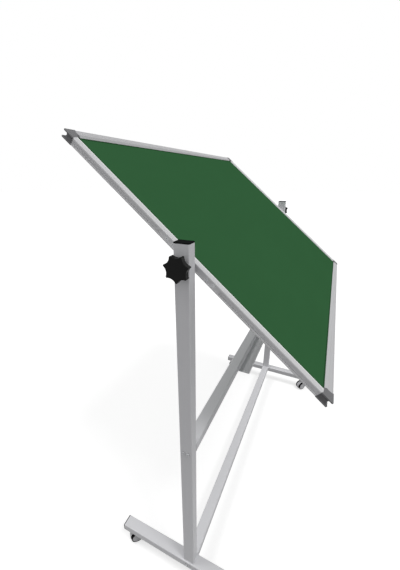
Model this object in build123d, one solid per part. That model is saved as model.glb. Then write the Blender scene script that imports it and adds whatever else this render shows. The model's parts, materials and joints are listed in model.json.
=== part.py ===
"""Mobile chalkboard: a framed two-sided green board on a horizontal pivot between two
uprights, with star knobs, a chalk tray and four twin-wheel casters.

Millimetres, +Z up, X along the pivot axis, the shown writing side faces -Y.
The origin is on the floor, midway between the uprights.
"""
from build123d import *
import math
import os

os.makedirs("parts", exist_ok=True)

# Board as a whole, with its frame
board_w = 1200.0
board_h = 900.0
board_tilt = 50.0
pivot_z = 1225.0

# Frame rail section: depth from the outer edge inwards, half thickness
rail_depth = 25.0
rail_half = 10.0
rail_round = 2.0
rail_face = 18.0
rail_lip = 6.3
rail_wall = 1.5
rail_web = 13.5
rail_cheek_in = 19.0
rail_cheek_half = 8.3
channel_half = 5.5
channel_depth = 4.0
edge_line = 4.5
edge_line_half = 0.5
edge_line_depth = 0.6
cove = 13.5
cove_half = 2.0
cove_depth = 0.6

# Writing panel: core between two enamelled steel sheets
panel_half = 5.5
panel_inset = 14.0
sheet_t = 0.5

# Corner pieces
corner_arm = 35.0
corner_scoop = 29.5
corner_arm_in = 31.5
corner_proud = 0.5
corner_slope = 4.0
corner_round = 4.0
corner_edge = 0.8
corner_groove_r = 7.5
leg_length = 32.0
leg_clear = 0.1

# Pivot plates in the side channels
plate_length = 200.0
plate_t = 3.0
plate_clear = 0.2
plate_screw_d = 5.0
plate_screw_head_d = 9.0
plate_screw_cone = 2.2
plate_screw_reach = 10.0
plate_screws_at = [-78.0, -58.0, 58.0, 78.0]

# Pivot bolts, spacers, sleeves and washers
board_gap = 10.0
bolt_d = 10.0
run_clear = 0.05
bolt_head_af = 16.8
bolt_head_h = 6.3
bolt_tip_gap = 2.0
spacer_d = 24.0
face_gap = 0.1
sleeve_d = 16.0
washer_d = 24.0
washer_t = 2.0

# Tube shared by the uprights, feet, crossbar and stretcher
tube_w = 40.0
tube_h = 30.0
tube_wall = 1.5
tube_round = 3.0
plug_clear = 0.1

# Stand
upright_top = 1276.0
cap_head = 3.0
cap_rim = 2.5
cap_dish = 0.6
cap_plug = 12.0
cap_wall = 2.0
foot_bottom = 74.0
foot_length = 574.0
foot_cap_head = 3.0
crossbar_top = 665.0
plug_length = 15.0
joint_bolt_d = 6.0
joint_head_d = 10.5
joint_head_h = 3.3
joint_reach = 14.0
joint_spread = 7.0
foot_bolt_spread = 13.0
foot_bolt_access = 12.0

# Chalk tray
tray_length = 380.0
tray_t = 1.5
tray_front = 66.8
tray_lip = 10.5
tray_bend = 1.0
tray_corner = 4.0
tray_back_top = 661.0
tray_screw_d = 4.0
tray_screw_head_d = 8.0
tray_screw_head_h = 1.6
tray_screw_reach = 8.0
tray_screws_at = [-150.0, 0.0, 150.0]
tray_screw_z = 651.0

# Star knobs
knob_r = 32.0
knob_valley_r = 25.3
knob_lobes = 7
knob_tip_half = 1.7
knob_tip_round = 1.2
knob_star_t = 13.3
knob_edge = 0.7
knob_hub_d = 27.0
knob_height = 26.6
knob_turn_near = 63.9
knob_turn_far = 22.0
insert_d = 14.0
insert_cover = 5.1

# Casters
caster_clear = 2.5
caster_trail = 15.0
caster_turn = 50.0
wheel_r = 25.0
tread_t = 4.0
wheel_w = 13.5
wheel_in = 5.0
wheel_dish = 1.5
hub_rim = 4.0
axle_d = 6.0
axle_half = 16.0
web_half = 4.5
web_r = 19.0
hood_gap = 1.2
hood_t = 2.0
hood_half = 8.5
hood_skirt_z = 12.0
stem_d = 8.0
stem_thread_d = 10.0
stem_thread = 15.0
collar_d = 18.0
collar_t = 3.0
insert_flange_d = 18.0
insert_flange_t = 1.5
insert_body_d = 13.0
insert_body = 17.0
socket_d = 20.0
socket_bottom = 51.5
stem_end = 53.0
swivel_gap = 0.5

half_w = board_w / 2
half_h = board_h / 2
upright_in = half_w + board_gap
foot_top = foot_bottom + tube_h
upright_mid = upright_in + tube_h / 2
upright_out = upright_in + tube_h
knob_front = upright_out + knob_height
insert_front = knob_front - insert_cover
bolt_end = insert_front - bolt_tip_gap
caster_y = foot_length / 2 - cap_plug - insert_body_d / 2 - caster_clear
foot_in = upright_mid - tube_w / 2
foot_out = upright_mid + tube_w / 2
crossbar_bottom = crossbar_top - tube_h
crossbar_mid = crossbar_top - tube_h / 2
bore_d = bolt_d + 2 * run_clear
fit = Pos(0, 0, pivot_z) * Rot(-board_tilt, 0, 0)


def write(name, shape):
    export_step(shape, "parts/" + name + ".step")


def group(solids):
    return Compound(children=solids)


def box(x0, x1, y0, y1, z0, z1):
    return Pos((x0 + x1) / 2, (y0 + y1) / 2, (z0 + z1) / 2) * Box(x1 - x0, y1 - y0, z1 - z0)


def rod_x(d, x0, x1, y=0.0, z=0.0):
    return Pos((x0 + x1) / 2, y, z) * Rot(0, 90, 0) * Cylinder(d / 2, abs(x1 - x0))


def rod_y(d, y0, y1, x=0.0, z=0.0):
    return Pos(x, (y0 + y1) / 2, z) * Rot(90, 0, 0) * Cylinder(d / 2, abs(y1 - y0))


def rod_z(d, z0, z1, x=0.0, y=0.0):
    return Pos(x, y, (z0 + z1) / 2) * Cylinder(d / 2, abs(z1 - z0))


def rounded_bar(w, h, r, length):
    """Bar along Z with a rounded section, centred."""
    return extrude(RectangleRounded(w, h, r), length / 2, both=True)


def tube(w, h, length):
    """Rectangular tube along Z with w along X and h along Y, centred."""
    inside = rounded_bar(w - 2 * tube_wall, h - 2 * tube_wall, tube_round - tube_wall, length + 2)
    return rounded_bar(w, h, tube_round, length) - inside


def mirrored(shape):
    """The same piece on the other side: turned half round about Z."""
    return Rot(0, 0, 180) * shape


# Writing panel
panel_w = half_w - panel_inset
panel_h = half_h - panel_inset
core_half = panel_half - sheet_t
write("board_core", fit * box(-panel_w, panel_w, -core_half, core_half, -panel_h, panel_h))
write("front_surface", fit * box(-panel_w, panel_w, -panel_half, -core_half, -panel_h, panel_h))
write("back_surface", fit * box(-panel_w, panel_w, core_half, panel_half, -panel_h, panel_h))

# Frame rail section, drawn with the outer edge on x = 0 and the inside towards +x
upper = [
    (0, rail_half),
    (edge_line - edge_line_half, rail_half),
    (edge_line, rail_half - edge_line_depth),
    (edge_line + edge_line_half, rail_half),
    (cove - cove_half, rail_half),
    (cove, rail_half - cove_depth),
    (cove + cove_half, rail_half),
    (rail_face, rail_half),
    (rail_depth, rail_lip),
    (rail_depth, panel_half),
    (rail_cheek_in, panel_half),
    (rail_cheek_in, rail_cheek_half),
    (rail_web, rail_cheek_half),
]
channel = [(0, -channel_half), (channel_depth, -channel_half), (channel_depth, channel_half), (0, channel_half)]
lower = [(x, -y) for x, y in reversed(upper)]
section = make_face(Polyline(upper + lower + channel, close=True))
outer_corners = [v for v in section.vertices() if abs(v.X) < 0.01 and abs(abs(v.Y) - rail_half) < 0.01]
section = fillet(outer_corners, rail_round)
chamber_in = channel_depth + rail_wall
chamber_out = rail_web - rail_wall
chamber_half = rail_half - rail_wall
chamber_mid = (chamber_in + chamber_out) / 2
chamber = Pos(chamber_mid, 0) * Rectangle(chamber_out - chamber_in, 2 * chamber_half)
section = section - chamber


def rail(length):
    return extrude(section, length / 2, both=True)


side_length = board_h - 2 * rail_depth
long_length = board_w - 2 * rail_depth

# Corner outline, drawn with the board's corner on the origin; the rails end along its arcs
arm_mid = rail_depth / 2
tip = (-corner_proud, -corner_proud)
long_end = (corner_arm, -corner_proud)
side_end = (-corner_proud, corner_arm)
inner = (rail_depth, rail_depth)
outline = make_face([
    Line(tip, long_end),
    ThreePointArc(long_end, (corner_scoop, arm_mid), (corner_arm_in, rail_depth)),
    Line((corner_arm_in, rail_depth), inner),
    Line(inner, (rail_depth, corner_arm_in)),
    ThreePointArc((rail_depth, corner_arm_in), (arm_mid, corner_scoop), side_end),
    Line(side_end, tip),
])
corner_half = rail_half + corner_proud
cover = Rot(90, 0, 0) * extrude(outline, corner_half, both=True)


def at_corners(shape):
    """Copies of a near bottom corner shape at all four corners of the board."""
    near_bottom = Pos(-half_w, 0, -half_h) * shape
    far_top = Rot(0, 180, 0) * near_bottom
    far_bottom = mirrored(near_bottom)
    near_top = Rot(0, 180, 0) * far_bottom
    return near_bottom, near_top, far_bottom, far_top


def trimmed(shape):
    """A rail cut back to the corner pieces."""
    for piece in at_corners(cover):
        shape -= piece
    return shape


side_rail = trimmed(Pos(-half_w, 0, 0) * rail(side_length))
side_rail -= rod_x(bore_d, -half_w - 1, -half_w + chamber_in + 0.5)
for at in plate_screws_at:
    side_rail -= rod_x(plate_screw_d, -half_w - 1, -half_w + chamber_in + 0.5, 0, at)
write("side_rail_near", fit * side_rail)
write("side_rail_far", fit * mirrored(side_rail))
write("top_rail", fit * trimmed(Pos(0, 0, half_h) * Rot(0, 90, 0) * rail(long_length)))
write("bottom_rail", fit * trimmed(Pos(0, 0, -half_h) * Rot(0, -90, 0) * rail(long_length)))

# Corner pieces with their legs in the rails' chambers
block = cover
outer_edge = [e for e in block.edges().filter_by(Axis.Y) if e.center().X < 0 and e.center().Z < 0]
block = fillet(outer_edge, corner_round)
face_edges = [e for e in block.edges() if abs(abs(e.center().Y) - corner_half) < 0.01]
rims = [e for e in face_edges if min(e.center().X, e.center().Z) < corner_round]
block = fillet(rims, corner_edge)
face_edges = [e for e in block.edges() if abs(abs(e.center().Y) - corner_half) < 0.01]
slopes = [e for e in face_edges if min(e.center().X, e.center().Z) > rail_depth - 0.01]
block = chamfer(slopes, corner_slope)
block -= rod_x(2 * corner_groove_r, -corner_arm, 2 * corner_arm, 0, -corner_proud)
block -= rod_z(2 * corner_groove_r, -corner_arm, 2 * corner_arm, -corner_proud, 0)
block -= box(panel_inset, corner_arm, -panel_half, panel_half, panel_inset, corner_arm)
leg_a = chamber_in + leg_clear
leg_b = chamber_out - leg_clear
leg_half = chamber_half - leg_clear
leg_tip = corner_scoop + leg_length
block += box(corner_scoop - 1, leg_tip, -leg_half, leg_half, leg_a, leg_b)
block += box(leg_a, leg_b, -leg_half, leg_half, corner_scoop - 1, leg_tip)
names = ["corner_near_bottom", "corner_near_top", "corner_far_bottom", "corner_far_top"]
for name, piece in zip(names, at_corners(block)):
    write(name, fit * piece)

# Pivot plate with its countersunk screws
plate_in = -half_w + channel_depth
plate_out = plate_in - plate_t
plate_half = channel_half - plate_clear
plate = box(plate_out, plate_in, -plate_half, plate_half, -plate_length / 2, plate_length / 2)
plate -= rod_x(bore_d, plate_out - 1, plate_in + 1)
screws = []
for at in plate_screws_at:
    cone = Cone(plate_screw_head_d / 2, plate_screw_d / 2, plate_screw_cone)
    cone = Pos(plate_out + plate_screw_cone / 2, 0, at) * Rot(0, 90, 0) * cone
    shank = rod_x(plate_screw_d, plate_out + 0.1, plate_out + plate_screw_reach, 0, at)
    socket = rod_x(plate_screw_d / 2, plate_out - 1, plate_out + 1, 0, at)
    plate -= cone
    plate -= rod_x(plate_screw_d, plate_out, plate_in + 1, 0, at)
    screws.append(cone + shank - socket)
write("pivot_plate_near", fit * plate)
write("pivot_plate_far", fit * mirrored(plate))
write("plate_screws", group([fit * s for s in screws] + [fit * mirrored(s) for s in screws]))

# Pivot bolt: its hexagon head is held in the rail chamber and cannot turn
head_out = -half_w + chamber_in + 0.05
head = extrude(RegularPolygon(bolt_head_af / 2, 6, major_radius=False), bolt_head_h)
head = Pos(head_out, 0, 0) * Rot(0, 90, 0) * head
bolt = head + rod_x(bolt_d, -bolt_end, head_out + 1)
spacer = rod_x(spacer_d, -upright_in + face_gap, -half_w) - rod_x(bore_d, -upright_in, -half_w + 1)
write("pivot_bolt_near", fit * bolt)
write("pivot_bolt_far", fit * mirrored(bolt))
write("pivot_spacer_near", fit * spacer)
write("pivot_spacer_far", fit * mirrored(spacer))

# Knob washers and star knobs, on the pivot axis
washer_in = upright_out + face_gap
washer_out = washer_in + washer_t
washer = rod_x(washer_d, -washer_out, -washer_in) - rod_x(bore_d, -washer_out - 1, -washer_in + 1)
write("knob_washer_near", fit * washer)
write("knob_washer_far", fit * mirrored(washer))


def star(turn):
    """Star of the knob; turn is one lobe's angle, seen from outside, from +Y towards +Z."""
    step = 2 * math.pi / knob_lobes
    blunt = math.asin(knob_tip_half / knob_r)

    def at(radius, angle):
        return radius * math.cos(angle), radius * math.sin(angle)

    edges = []
    for i in range(knob_lobes):
        a = i * step - math.radians(turn)
        leaving = at(knob_r, a + blunt)
        edges.append(ThreePointArc(at(knob_r, a - blunt), at(knob_r, a), leaving))
        edges.append(ThreePointArc(leaving, at(knob_valley_r, a + step / 2), at(knob_r, a + step - blunt)))
    return fillet(make_face(edges).vertices(), knob_tip_round)


def knob(turn):
    """Knob and its insert on the near side, hub towards +X; drawn upright."""
    shape = extrude(star(turn), knob_star_t)
    rims = [e for e in shape.edges() if e.center().Z > knob_star_t - 0.01]
    shape = chamfer(rims, knob_edge)
    shape += rod_z(knob_hub_d, knob_star_t - knob_front + washer_out, 1)
    shape = Pos(-knob_front + knob_star_t, 0, 0) * Rot(0, -90, 0) * Rot(0, 0, 90) * shape
    return shape


def bored(shape):
    """Knob with the pocket for its insert."""
    return shape - rod_x(insert_d, -insert_front, -washer_out + 1)


insert = rod_x(insert_d, -insert_front, -washer_out) - rod_x(bore_d, -insert_front + 1, -washer_out + 1)
level = Pos(0, 0, pivot_z)
write("knob_near", level * bored(knob(knob_turn_near)))
write("knob_far", level * mirrored(bored(knob(knob_turn_far))))
write("knob_insert_near", level * insert)
write("knob_insert_far", level * mirrored(insert))

# Uprights with caps and the sleeves that keep the tube from crushing
joint_ys = [-joint_spread, joint_spread]
upright_len = upright_top - foot_top
upright_cz = (upright_top + foot_top) / 2
upright = Pos(-upright_mid, 0, upright_cz) * tube(tube_h, tube_w, upright_len)
upright -= rod_x(bore_d, -upright_out - 1, -upright_in + 1, 0, pivot_z)
for y in joint_ys:
    upright -= rod_x(joint_bolt_d + 2 * plug_clear, -upright_out - 1, -upright_in + 1, y, crossbar_mid)
write("upright_near", upright)
write("upright_far", mirrored(upright))
sleeve = rod_x(sleeve_d, -upright_out + tube_wall, -upright_in - tube_wall, 0, pivot_z)
sleeve -= rod_x(bore_d, -upright_out, -upright_in, 0, pivot_z)
write("pivot_sleeves", group([sleeve, mirrored(sleeve)]))


def end_cap(w, h, head_t, dish):
    """Tube end cap with its head above z = 0 and its plug below."""
    cap = Pos(0, 0, head_t / 2) * rounded_bar(w, h, tube_round, head_t)
    if dish > 0:
        well = rounded_bar(w - 2 * cap_rim, h - 2 * cap_rim, 1.0, 2 * dish)
        cap -= Pos(0, 0, head_t) * well
    pw = w - 2 * (tube_wall + plug_clear)
    ph = h - 2 * (tube_wall + plug_clear)
    plug = rounded_bar(pw, ph, 1.2, cap_plug) - rounded_bar(pw - 2 * cap_wall, ph - 2 * cap_wall, 0.5, cap_plug)
    return cap + Pos(0, 0, -cap_plug / 2) * plug


upright_cap = Pos(-upright_mid, 0, upright_top) * end_cap(tube_h, tube_w, cap_head, cap_dish)
write("upright_cap_near", upright_cap)
write("upright_cap_far", mirrored(upright_cap))

# Feet with end caps
foot_mid = foot_bottom + tube_h / 2
foot = Pos(-upright_mid, 0, foot_mid) * Rot(90, 0, 0) * tube(tube_w, tube_h, foot_length)
for y in joint_ys:
    foot -= rod_x(joint_bolt_d + 2 * plug_clear, -foot_out - 1, -foot_in + 1, y, foot_mid)
for y in [-foot_bolt_spread, foot_bolt_spread]:
    foot -= rod_z(joint_bolt_d + 2 * plug_clear, foot_mid, foot_top + 1, -upright_mid, y)
    foot -= rod_z(foot_bolt_access, foot_bottom - 1, foot_mid, -upright_mid, y)
for y in [-caster_y, caster_y]:
    foot -= rod_z(insert_body_d, foot_bottom - 1, foot_mid, -upright_mid, y)
write("foot_near", foot)
write("foot_far", mirrored(foot))
front_cap = Pos(-upright_mid, -foot_length / 2, foot_mid) * Rot(90, 0, 0)
front_cap = front_cap * end_cap(tube_w, tube_h, foot_cap_head, 0)
back_cap = Pos(-2 * upright_mid, 0, 0) * mirrored(front_cap)
caps = [front_cap, back_cap, mirrored(front_cap), mirrored(back_cap)]
write("foot_caps", group(caps))

# Crossbar and stretcher
crossbar = Pos(0, 0, crossbar_mid) * Rot(0, 90, 0) * tube(tube_h, tube_w, 2 * upright_in)
for x in tray_screws_at:
    crossbar -= rod_y(tray_screw_d, -tube_w / 2 - 1, 0, x, tray_screw_z)
write("crossbar", crossbar)
write("stretcher", Pos(0, 0, foot_mid) * Rot(0, 90, 0) * tube(tube_h, tube_w, 2 * foot_in))

# Threaded plugs in the tube ends and the bolts that pull the tubes together
plug_w = tube_w - 2 * (tube_wall + plug_clear)
plug_h = tube_h - 2 * (tube_wall + plug_clear)
plugs = []
bolts = []
for end_x, outer_x, z in [(-upright_in, -upright_out, crossbar_mid), (-foot_in, -foot_out, foot_mid)]:
    plug = Pos(end_x + plug_length / 2, 0, z) * Rot(0, 90, 0) * rounded_bar(plug_h, plug_w, 1.2, plug_length)
    for y in joint_ys:
        plug -= rod_x(joint_bolt_d, end_x - 1, end_x + plug_length + 1, y, z)
        screw = rod_x(joint_bolt_d, outer_x, end_x + joint_reach, y, z)
        screw_head = rod_x(joint_head_d, outer_x - joint_head_h, outer_x, y, z)
        key = rod_x(joint_bolt_d / 2, outer_x - joint_head_h - 1, outer_x - 1, y, z)
        button = fillet(screw_head.edges().sort_by(Axis.X)[0], 1.4)
        bolts.append(screw + button - key)
    plugs.append(plug)
upright_plug = Pos(-upright_mid, 0, foot_top + plug_length / 2) * rounded_bar(plug_h, plug_w, 1.2, plug_length)
seat = foot_top - tube_wall
for y in [-foot_bolt_spread, foot_bolt_spread]:
    upright_plug -= rod_z(joint_bolt_d, foot_top - 1, foot_top + plug_length + 1, -upright_mid, y)
    screw = rod_z(joint_bolt_d, seat, foot_top + joint_reach, -upright_mid, y)
    screw_head = rod_z(joint_head_d, seat - joint_head_h, seat, -upright_mid, y)
    key = rod_z(joint_bolt_d / 2, seat - joint_head_h - 1, seat - 1, -upright_mid, y)
    bolts.append(screw + screw_head - key)
plugs.append(upright_plug)
write("tube_plugs", group(plugs + [mirrored(p) for p in plugs]))
write("joint_bolts", group(bolts + [mirrored(b) for b in bolts]))

# Chalk tray: back flange on the crossbar, shelf and turned-up lip
half_tray = tray_length / 2
tray_back = -tube_w / 2
shelf_bottom = crossbar_bottom - tray_t
tray = box(-half_tray, half_tray, tray_back - tray_t, tray_back, shelf_bottom, tray_back_top)
tray += box(-half_tray, half_tray, -tray_front, tray_back, shelf_bottom, crossbar_bottom)
tray += box(-half_tray, half_tray, -tray_front, -tray_front + tray_t, shelf_bottom, shelf_bottom + tray_lip)
for height, radius in [(crossbar_bottom, tray_bend), (shelf_bottom, tray_bend + tray_t)]:
    bends = [e for e in tray.edges().filter_by(Axis.X) if abs(e.center().Z - height) < 0.01]
    tray = fillet(bends, radius)
lip_ends = [e for e in tray.edges().filter_by(Axis.Y) if e.center().Z > shelf_bottom + tray_lip - 0.01]
tray = fillet(lip_ends, tray_corner)
tray_screws = []
for x in tray_screws_at:
    tray -= rod_y(tray_screw_d, tray_back - tray_t - 1, tray_back + 1, x, tray_screw_z)
    screw = rod_y(tray_screw_d, tray_back - tray_t, tray_back + tray_screw_reach, x, tray_screw_z)
    pan_in = tray_back - tray_t
    pan = rod_y(tray_screw_head_d, pan_in - tray_screw_head_h, pan_in, x, tray_screw_z)
    pan = fillet(pan.edges().sort_by(Axis.Y)[0], 0.8)
    tray_screws.append(screw + pan)
write("chalk_tray", tray)
write("tray_screws", group(tray_screws))

# Caster pieces, drawn with the swivel axis on the origin and the axle along X
flange_bottom = foot_bottom - insert_flange_t
collar_bottom = flange_bottom - collar_t
thread_insert = rod_z(insert_flange_d, flange_bottom, foot_bottom)
thread_insert += rod_z(insert_body_d, foot_bottom - 0.5, foot_bottom + insert_body)
thread_insert -= rod_z(stem_thread_d, flange_bottom - 1, foot_bottom + insert_body + 1)
stem = rod_z(stem_thread_d, flange_bottom - 1, flange_bottom + stem_thread)
stem += rod_z(collar_d, collar_bottom, flange_bottom)
stem += rod_z(stem_d, stem_end, collar_bottom + 1)
hood_top = collar_bottom - swivel_gap
web = rod_x(2 * web_r, -web_half, web_half, caster_trail, wheel_r)
web += box(-web_half, web_half, -socket_d / 2, caster_trail, wheel_r + 5, socket_bottom + 1)
shell_r = wheel_r + hood_gap
shell = rod_x(2 * (shell_r + hood_t), -hood_half, hood_half, caster_trail, wheel_r)
shell -= rod_x(2 * shell_r, -hood_half - 1, hood_half + 1, caster_trail, wheel_r)
shell = shell & box(-hood_half, hood_half, -40, 60, hood_skirt_z, 80)
bridge = rod_x(2 * (shell_r + 1), -web_half, web_half, caster_trail, wheel_r)
bridge = bridge & box(-web_half, web_half, -40, 60, hood_skirt_z, 80)
hood = web + shell + bridge + rod_z(socket_d, socket_bottom, hood_top)
hood -= rod_z(stem_d + 2 * run_clear, stem_end - swivel_gap, hood_top + 1)
hood -= rod_x(axle_d + 2 * run_clear, -web_half - 1, web_half + 1, caster_trail, wheel_r)
wheel_out = wheel_in + wheel_w
hubs = []
tyres = []
for side in [-1, 1]:
    hub = rod_x(2 * (wheel_r - tread_t), side * wheel_in, side * wheel_out, caster_trail, wheel_r)
    dish_in = side * (wheel_out - wheel_dish)
    hub -= rod_x(2 * (wheel_r - tread_t - hub_rim), dish_in, side * (wheel_out + 1), caster_trail, wheel_r)
    hub += rod_x(axle_d + 6, dish_in, side * wheel_out, caster_trail, wheel_r)
    hub -= rod_x(axle_d, side * (wheel_in - 1), side * axle_half, caster_trail, wheel_r)
    tyre = rod_x(2 * wheel_r, side * wheel_in, side * wheel_out, caster_trail, wheel_r)
    tyre -= rod_x(2 * (wheel_r - tread_t), side * (wheel_in - 1), side * (wheel_out + 1), caster_trail, wheel_r)
    hubs.append(hub)
    tyres.append(tyre)
axle = rod_x(axle_d, -axle_half, axle_half, caster_trail, wheel_r)

stems = []
inserts = []
casters = [("near_front", -1, -1), ("near_back", -1, 1), ("far_front", 1, -1), ("far_back", 1, 1)]
for name, sx, sy in casters:
    spot = Pos(sx * upright_mid, sy * caster_y, 0)
    place = spot * Rot(0, 0, caster_turn + 90 + 90 * sy)
    inserts.append(spot * thread_insert)
    stems.append(spot * stem)
    write("hood_" + name, place * hood)
    write("wheels_" + name, group([place * h for h in hubs]))
    write("tyres_" + name, group([place * t for t in tyres]))
    write("axle_" + name, place * axle)
write("caster_inserts", group(inserts))
write("caster_stems", group(stems))
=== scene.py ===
"""Mobile chalkboard: finishes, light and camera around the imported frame."""
import json
import math

import bmesh
import bpy
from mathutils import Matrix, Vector

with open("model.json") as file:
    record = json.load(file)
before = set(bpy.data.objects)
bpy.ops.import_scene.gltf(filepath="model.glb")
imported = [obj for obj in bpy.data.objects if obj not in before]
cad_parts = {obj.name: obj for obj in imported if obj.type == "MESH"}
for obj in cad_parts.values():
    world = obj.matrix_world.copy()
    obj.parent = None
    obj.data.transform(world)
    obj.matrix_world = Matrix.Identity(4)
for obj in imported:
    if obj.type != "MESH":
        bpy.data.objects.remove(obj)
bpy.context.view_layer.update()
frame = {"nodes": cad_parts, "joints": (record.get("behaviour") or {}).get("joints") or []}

cad_nodes = frame["nodes"]
pivot_joint = next(joint for joint in frame["joints"] if joint["name"] == "board_tilt")

# The board's place and sizes, in metres, and its tilt from upright
PIVOT_Z = pivot_joint["pos_m"][2]
BOARD_W = 1.2
BOARD_H = 0.9
RAIL_DEPTH = 0.025
BOARD_TILT = math.radians(50.0)

# Painted highlight on the near rail's face by its inner edge, painted shade in a green band along
# the rails, and floor dust
HIGHLIGHT_FROM = 0.0155
HIGHLIGHT_SOFT = 0.0005
# Painted shade: the width, softness and darkness of a band of the green along the rails
EDGE_SHADE = 0.005
EDGE_SOFT = 0.001
EDGE_SHADE_TONE = 0.66
DUST_TOP = 0.05
DUST_SHARE = 0.35

# Floor, background and lamps
FLOOR_HALF = 30.0
FLOOR_TONE = 0.15
SHADOW_TONE = 0.6
FLOOR_GLOW = 0.58
SKY = 0.5

# Camera, found from the photograph's edges
CAMERA_X = -1.1635
CAMERA_Y = -0.2887
CAMERA_ABOVE_PIVOT = 0.1844
CAMERA_PITCH = math.radians(20.89)
CAMERA_YAW = math.radians(24.90)
FOCAL_PX = 281.11
FRAME_W = 400
SENSOR = 36.0

# Places of the sockets of a Mix node that mixes colours
MIX_AMOUNT = 0
MIX_A = 6
MIX_B = 7
MIX_RESULT = 2


def srgb(r, g, b):
    """Linear colour from 0-255 display values, by the sRGB curve."""
    out = []
    for c in (r, g, b):
        c /= 255
        out.append(c / 12.92 if c <= 0.04045 else ((c + 0.055) / 1.055) ** 2.4)
    return (*out, 1.0)


def grey(tone):
    """A neutral linear colour."""
    return (tone, tone, tone, 1.0)


def shade(colour, factor):
    """A colour made lighter or darker."""
    return (*(c * factor for c in colour[:3]), 1.0)


PAINT = srgb(217, 217, 220)
# Painted reflection: the rails are one aluminium; the long rails get a darker and the side rails a
# lighter tone for their different sheen
SILVER_LONG_DIM_SHEEN = srgb(191, 191, 193)
SILVER_SIDE_BRIGHT_SHEEN = srgb(209, 209, 211)
# Painted highlight: the pale colour of a strip on the near rail's face, just short of its inner
# edge
RAIL_HIGHLIGHT = srgb(240, 245, 241)
CORNER = srgb(111, 111, 113)
GREEN = srgb(54, 98, 62)
DUST = srgb(176, 172, 164)
ZINC = srgb(165, 166, 168)
BRASS = srgb(200, 170, 100)
CAP_BLACK = srgb(29, 30, 30)
KNOB_BLACK = srgb(11, 11, 11)
NYLON_BLACK = srgb(16, 16, 17)
CASTER_GREY = srgb(205, 205, 208)
TREAD_BLACK = srgb(10, 10, 11)
FIBRE = srgb(150, 120, 85)
WHITE = grey(1.0)


class Wire:
    """A shader socket that takes part in Python arithmetic."""

    def __init__(self, shader, socket):
        self.shader = shader
        self.socket = socket

    def math(self, operation, *others, clamp=False):
        """A Math node on this socket and the others, in that order."""
        settings = {"operation": operation, "use_clamp": clamp}
        return self.shader.node("ShaderNodeMath", settings, dict(enumerate((self, *others))))

    def __add__(self, other):
        return self.math("ADD", other)

    def __mul__(self, other):
        return self.math("MULTIPLY", other)

    def __sub__(self, other):
        return self.math("SUBTRACT", other)

    def __truediv__(self, other):
        return self.math("DIVIDE", other)

    def __rsub__(self, other):
        return self.shader.node("ShaderNodeMath", {"operation": "SUBTRACT"}, {0: other, 1: self})

    __radd__ = __add__
    __rmul__ = __mul__

    def above(self, edge, width):
        """0 below the edge, 1 above it, over a soft width."""
        return ((self - edge) / width).math("ADD", 0.5, clamp=True)

    def between(self, low, high):
        """This wire's 0 to 1, spread from low to high."""
        return self * (high - low) + low

    def out(self, name):
        """Another output of the same node."""
        return Wire(self.shader, self.socket.node.outputs[name])


class Shader:
    """The shader nodes of a material or of the world."""

    def __init__(self, tree):
        self.tree = tree

    def node(self, kind, settings=None, sockets=None):
        """A node of that type: its settings first, then its sockets' values or wires."""
        made = self.tree.nodes.new(kind)
        for key, value in (settings or {}).items():
            setattr(made, key, value)
        for key, value in (sockets or {}).items():
            if isinstance(value, Wire):
                self.tree.links.new(value.socket, made.inputs[key])
            else:
                made.inputs[key].default_value = value
        first = next(socket for socket in made.outputs if socket.enabled)
        return Wire(self, first)

    def seen(self):
        """1 for the rays of the camera, of gloss and of clear pieces, 0 for bounced light."""
        path = self.node("ShaderNodeLightPath")
        looked = path.out("Is Camera Ray").math("MAXIMUM", path.out("Is Glossy Ray"))
        return looked.math("MAXIMUM", path.out("Is Transmission Ray"))

    def link(self, wire, node_name, socket_name):
        """Feeds a socket of a node that was there from the start."""
        self.tree.links.new(wire.socket, self.tree.nodes[node_name].inputs[socket_name])


class Finish(Shader):
    """A material with a Principled shader."""

    def __init__(self, name, **constants):
        self.material = bpy.data.materials.new(name)
        self.material.use_nodes = True
        super().__init__(self.material.node_tree)
        self.surface = self.tree.nodes["Principled BSDF"]
        for socket, value in constants.items():
            self.surface.inputs[socket.replace("_", " ")].default_value = value

    def feed(self, socket, wire):
        """Feeds a socket of the Principled shader."""
        self.link(wire, self.surface.name, socket)

    def place(self, turn=(0.0, 0.0, 0.0), move=(0.0, 0.0, 0.0)):
        """Object coordinates through a Mapping node."""
        coords = self.node("ShaderNodeTexCoord").out("Object")
        sockets = {"Vector": coords, "Rotation": turn, "Location": move}
        return self.node("ShaderNodeMapping", None, sockets)

    def on_board(self):
        """Object coordinates laid level with the board, from the middle of its pivot."""
        move = (0.0, PIVOT_Z * math.sin(BOARD_TILT), -PIVOT_Z * math.cos(BOARD_TILT))
        return self.place((BOARD_TILT, 0.0, 0.0), move)

    def stretched(self, where, scale):
        """Coordinates scaled apart along X, Y and Z, for marks that run one way."""
        return self.node("ShaderNodeMapping", None, {"Vector": where, "Scale": scale})

    def part(self, where, axis):
        """The X, Y or Z of coordinates."""
        return self.node("ShaderNodeSeparateXYZ", None, {0: where}).out(axis)

    def inset(self, level):
        """Distance inwards from the board's nearest outer edge."""
        from_side = BOARD_W / 2 - self.part(level, "X").math("ABSOLUTE")
        from_end = BOARD_H / 2 - self.part(level, "Z").math("ABSOLUTE")
        return from_side.math("MINIMUM", from_end)

    def noise(self, where, scale, detail=2.0, roughness=0.5):
        sockets = {"Vector": where, "Scale": scale, "Detail": detail, "Roughness": roughness}
        return self.node("ShaderNodeTexNoise", None, sockets)

    def mix(self, amount, a, b):
        """Colour a where amount is 0, b where it is 1."""
        sockets = {MIX_AMOUNT: amount, MIX_A: a, MIX_B: b}
        return self.node("ShaderNodeMix", {"data_type": "RGBA"}, sockets).out(MIX_RESULT)

    def tones(self, amount, colour, low, high):
        """The colour times low where amount is 0, times high where it is 1."""
        return self.mix(amount, shade(colour, low), shade(colour, high))

    def bump(self, height, distance, strength):
        sockets = {"Height": height, "Distance": distance, "Strength": strength}
        self.feed("Normal", self.node("ShaderNodeBump", None, sockets))


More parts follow.
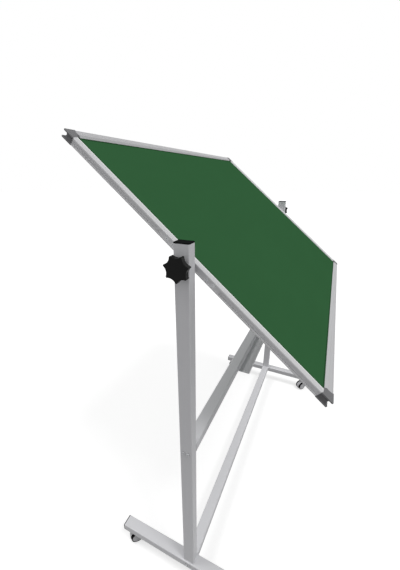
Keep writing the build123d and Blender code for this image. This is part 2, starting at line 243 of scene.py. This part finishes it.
def satin_paint(name, colour, roughness):
    """Powder coat: fine orange peel, slow tone drift and a little floor dust near the feet."""
    finish = Finish(name, Specular_IOR_Level=0.35)
    where = finish.place()
    drift = finish.noise(where, scale=3.0, detail=3.0)
    cloud = finish.noise(where, scale=26.0, detail=4.0, roughness=0.6)
    peel = finish.noise(where, scale=900.0)
    amount = (drift * 0.6 + cloud * 0.25 + peel * 0.15).above(edge=0.5, width=0.5)
    tone = finish.tones(amount, colour, low=0.96, high=1.03)
    near_floor = 1.0 - finish.part(where, "Z").above(DUST_TOP, 2 * DUST_TOP)
    dust = near_floor * cloud.above(edge=0.55, width=0.3) * DUST_SHARE
    finish.feed("Base Color", finish.mix(dust, tone, DUST))
    satin = drift.between(roughness - 0.05, roughness + 0.05)
    finish.feed("Roughness", satin + dust * 0.3)
    finish.bump(peel + cloud * 0.3, distance=0.00004, strength=0.35)
    return finish


def anodised(name, colour, along):
    """Drawn aluminium under matt anodising: die lines along the profile, and a painted highlight
    strip on the near rail's face by its inner edge.
    """
    finish = Finish(name, Metallic=0.12, Specular_IOR_Level=0.3)
    level = finish.on_board()
    line_scale = [260.0, 260.0, 260.0]
    line_scale["XYZ".index(along)] = 1.2
    line = finish.noise(finish.stretched(level, line_scale), scale=1.0, detail=3.0, roughness=0.6)
    broad = finish.noise(level, scale=4.0)
    amount = (line * 0.45 + broad * 0.55).above(edge=0.5, width=0.6)
    tone = finish.tones(amount, colour, low=0.97, high=1.02)
    from_near = finish.part(level, "X") + BOARD_W / 2
    # Painted highlight: a pale strip on the near rail's face, from a little way in up to the
    # rail's inner edge
    highlight_starts = from_near.above(HIGHLIGHT_FROM, HIGHLIGHT_SOFT)
    highlight_ends = from_near.above(RAIL_DEPTH, HIGHLIGHT_SOFT)
    finish.feed("Base Color", finish.mix(highlight_starts - highlight_ends, tone, RAIL_HIGHLIGHT))
    finish.feed("Roughness", line.between(0.45, 0.55))
    finish.bump(line, distance=0.00002, strength=0.2)
    return finish


def moulded(name, colour, roughness, specular=0.5, grain=1400.0):
    """Moulded plastic: fine spark-eroded grain and light handling marks."""
    finish = Finish(name, Specular_IOR_Level=specular)
    where = finish.place()
    fine = finish.noise(where, scale=grain)
    broad = finish.noise(where, scale=18.0, detail=3.0)
    finish.feed("Base Color", finish.tones(broad, colour, low=0.9, high=1.1))
    marks = broad * 0.7 + fine * 0.3
    finish.feed("Roughness", marks.between(roughness - 0.1, roughness + 0.1))
    finish.bump(fine, distance=0.00006, strength=0.4)
    return finish


def clouded_metal(name, colour):
    """Bare or plated metal: bright, with cloudy passivation or tarnish."""
    finish = Finish(name, Metallic=0.9)
    cloud = finish.noise(finish.place(), scale=120.0, detail=3.0, roughness=0.6)
    finish.feed("Base Color", finish.tones(cloud, colour, low=0.8, high=1.1))
    finish.feed("Roughness", cloud.between(0.22, 0.47))
    return finish


def chalk_enamel(name, colour):
    """Matt chalk enamel: very fine tooth, faint wiped haze, and painted shade in a narrow band
    along the rails.
    """
    finish = Finish(name, Specular_IOR_Level=0.0)
    level = finish.on_board()
    wiped = finish.stretched(level, (1.6, 7.0, 7.0))
    stroke = finish.noise(wiped, scale=1.6, detail=4.0, roughness=0.62)
    cloud = finish.noise(level, scale=3.2, detail=3.0)
    tooth = finish.noise(level, scale=2600.0)
    haze = (stroke * 0.55 + cloud * 0.45).above(edge=0.55, width=0.5)
    tone = finish.tones(haze, colour, low=1.0, high=1.08)
    # Painted shade: the green is darker in a narrow band next to the rails
    clear_of_shade = finish.inset(level).above(RAIL_DEPTH + EDGE_SHADE, EDGE_SOFT)
    finish.feed("Base Color", finish.mix(clear_of_shade, shade(colour, EDGE_SHADE_TONE), tone))
    finish.feed("Roughness", tooth.between(0.6, 0.7) + haze * 0.05)
    finish.bump(tooth, distance=0.00003, strength=0.4)
    return finish


paint = satin_paint("tube_paint", PAINT, roughness=0.5)
tray_paint = satin_paint("tray_paint", PAINT, roughness=0.48)
# Painted reflection: the long and side rails differ in tone only for their different sheen
silver_long = anodised("silver_long", SILVER_LONG_DIM_SHEEN, along="X")
silver_side = anodised("silver_side", SILVER_SIDE_BRIGHT_SHEEN, along="Z")
corner_grey = moulded("corner_grey", CORNER, roughness=0.55, specular=0.3)
green = chalk_enamel("chalk_green", GREEN)
zinc_plate = clouded_metal("zinc_plate", ZINC)
brass = clouded_metal("turned_brass", BRASS)
cap_black = moulded("cap_black", CAP_BLACK, roughness=0.7, specular=0.0)
knob_black = moulded("knob_black", KNOB_BLACK, roughness=0.42, specular=0.1)
nylon_black = moulded("nylon_black", NYLON_BLACK, roughness=0.6, specular=0.3)
caster_grey = moulded("caster_grey", CASTER_GREY, roughness=0.5, specular=0.4)
tread_black = moulded("tread_black", TREAD_BLACK, roughness=0.7, specular=0.06, grain=700.0)
fibre = moulded("fibre_board", FIBRE, roughness=0.8)


def dress(finish, *names):
    """Gives CAD nodes a finish."""
    for name in names:
        for slot in cad_nodes[name].material_slots:
            slot.material = finish.material


def starting(*words):
    """The CAD nodes whose names start with one of the words."""
    return [name for name in cad_nodes if name.startswith(words)]


dress(paint, "upright_near", "upright_far", "foot_near", "foot_far", "crossbar", "stretcher")
dress(tray_paint, "chalk_tray", "tray_screws")
dress(silver_long, "top_rail", "bottom_rail")
dress(silver_side, *starting("side_rail_", "pivot_plate_", "pivot_spacer_"))
dress(corner_grey, *starting("corner_"))
dress(green, "front_surface", "back_surface")
dress(fibre, "board_core")
dress(zinc_plate, *starting("axle_", "pivot_bolt_", "knob_washer_"))
dress(zinc_plate, "plate_screws", "pivot_sleeves", "joint_bolts", "caster_stems", "caster_inserts")
dress(brass, "knob_insert_near", "knob_insert_far")
dress(nylon_black, "tube_plugs")
dress(knob_black, "knob_near", "knob_far")
dress(cap_black, "upright_cap_near", "upright_cap_far", "foot_caps")
dress(caster_grey, *starting("hood_", "wheels_"))
dress(tread_black, *starting("tyres_"))

# Floor: white with the object's shadow where the camera and gloss look, plain grey for the rest
flat = bmesh.new()
bmesh.ops.create_grid(flat, x_segments=1, y_segments=1, size=FLOOR_HALF)
floor_mesh = bpy.data.meshes.new("floor")
flat.to_mesh(floor_mesh)
flat.free()
floor = bpy.data.objects.new("floor", floor_mesh)
bpy.context.scene.collection.objects.link(floor)

ground = Finish("pale_floor", Base_Color=grey(FLOOR_TONE), Roughness=0.9)
shadowed = ground.node("ShaderNodeBsdfDiffuse", None, {"Color": grey(SHADOW_TONE)})
glow = ground.node("ShaderNodeEmission", None, {"Color": WHITE, "Strength": FLOOR_GLOW})
white_floor = ground.node("ShaderNodeAddShader", None, {0: shadowed, 1: glow})
plain_floor = Wire(ground, ground.surface.outputs[0])
floor_parts = {0: ground.seen(), 1: plain_floor, 2: white_floor}
both = ground.node("ShaderNodeMixShader", None, floor_parts)
ground.link(both, "Material Output", "Surface")
floor_mesh.materials.append(ground.material)

# Background: white where the camera and gloss look, and an even light for the rest
world = bpy.data.worlds.new("studio")
bpy.context.scene.world = world
world.use_nodes = True
studio = Shader(world.node_tree)
studio.tree.nodes["Background"].inputs["Color"].default_value = WHITE
studio.link(studio.seen().between(SKY, 1.0), "Background", "Strength")


def sun(name, strength, angle, towards):
    """A parallel lamp that shines along a direction. A wider angle, in degrees, is softer."""
    lamp = bpy.data.lights.new(name, "SUN")
    lamp.energy = strength
    lamp.angle = math.radians(angle)
    made = bpy.data.objects.new(name, lamp)
    made.rotation_euler = Vector(towards).to_track_quat("-Z", "Y").to_euler()
    bpy.context.scene.collection.objects.link(made)


sun("front_light", strength=0.8, angle=15.0, towards=(0.14, 0.45, -0.87))
sun("back_light", strength=0.62, angle=20.0, towards=(0.14, -0.45, -0.87))
sun("low_light", strength=0.15, angle=25.0, towards=(0.1, 0.86, -0.5))

look = bpy.data.cameras.new("camera")
look.sensor_fit = "HORIZONTAL"
look.sensor_width = SENSOR
look.lens = FOCAL_PX / FRAME_W * SENSOR
look.clip_start = 0.01
look.clip_end = 200.0
camera = bpy.data.objects.new("camera", look)
camera.location = (CAMERA_X, CAMERA_Y, PIVOT_Z + CAMERA_ABOVE_PIVOT)
ahead = Vector((
    math.cos(CAMERA_PITCH) * math.cos(CAMERA_YAW),
    math.cos(CAMERA_PITCH) * math.sin(CAMERA_YAW),
    -math.sin(CAMERA_PITCH),
))
camera.rotation_euler = ahead.to_track_quat("-Z", "Y").to_euler()
bpy.context.scene.collection.objects.link(camera)
bpy.context.scene.camera = camera
bpy.context.scene.view_settings.view_transform = "Standard"

bpy.context.view_layer.update()
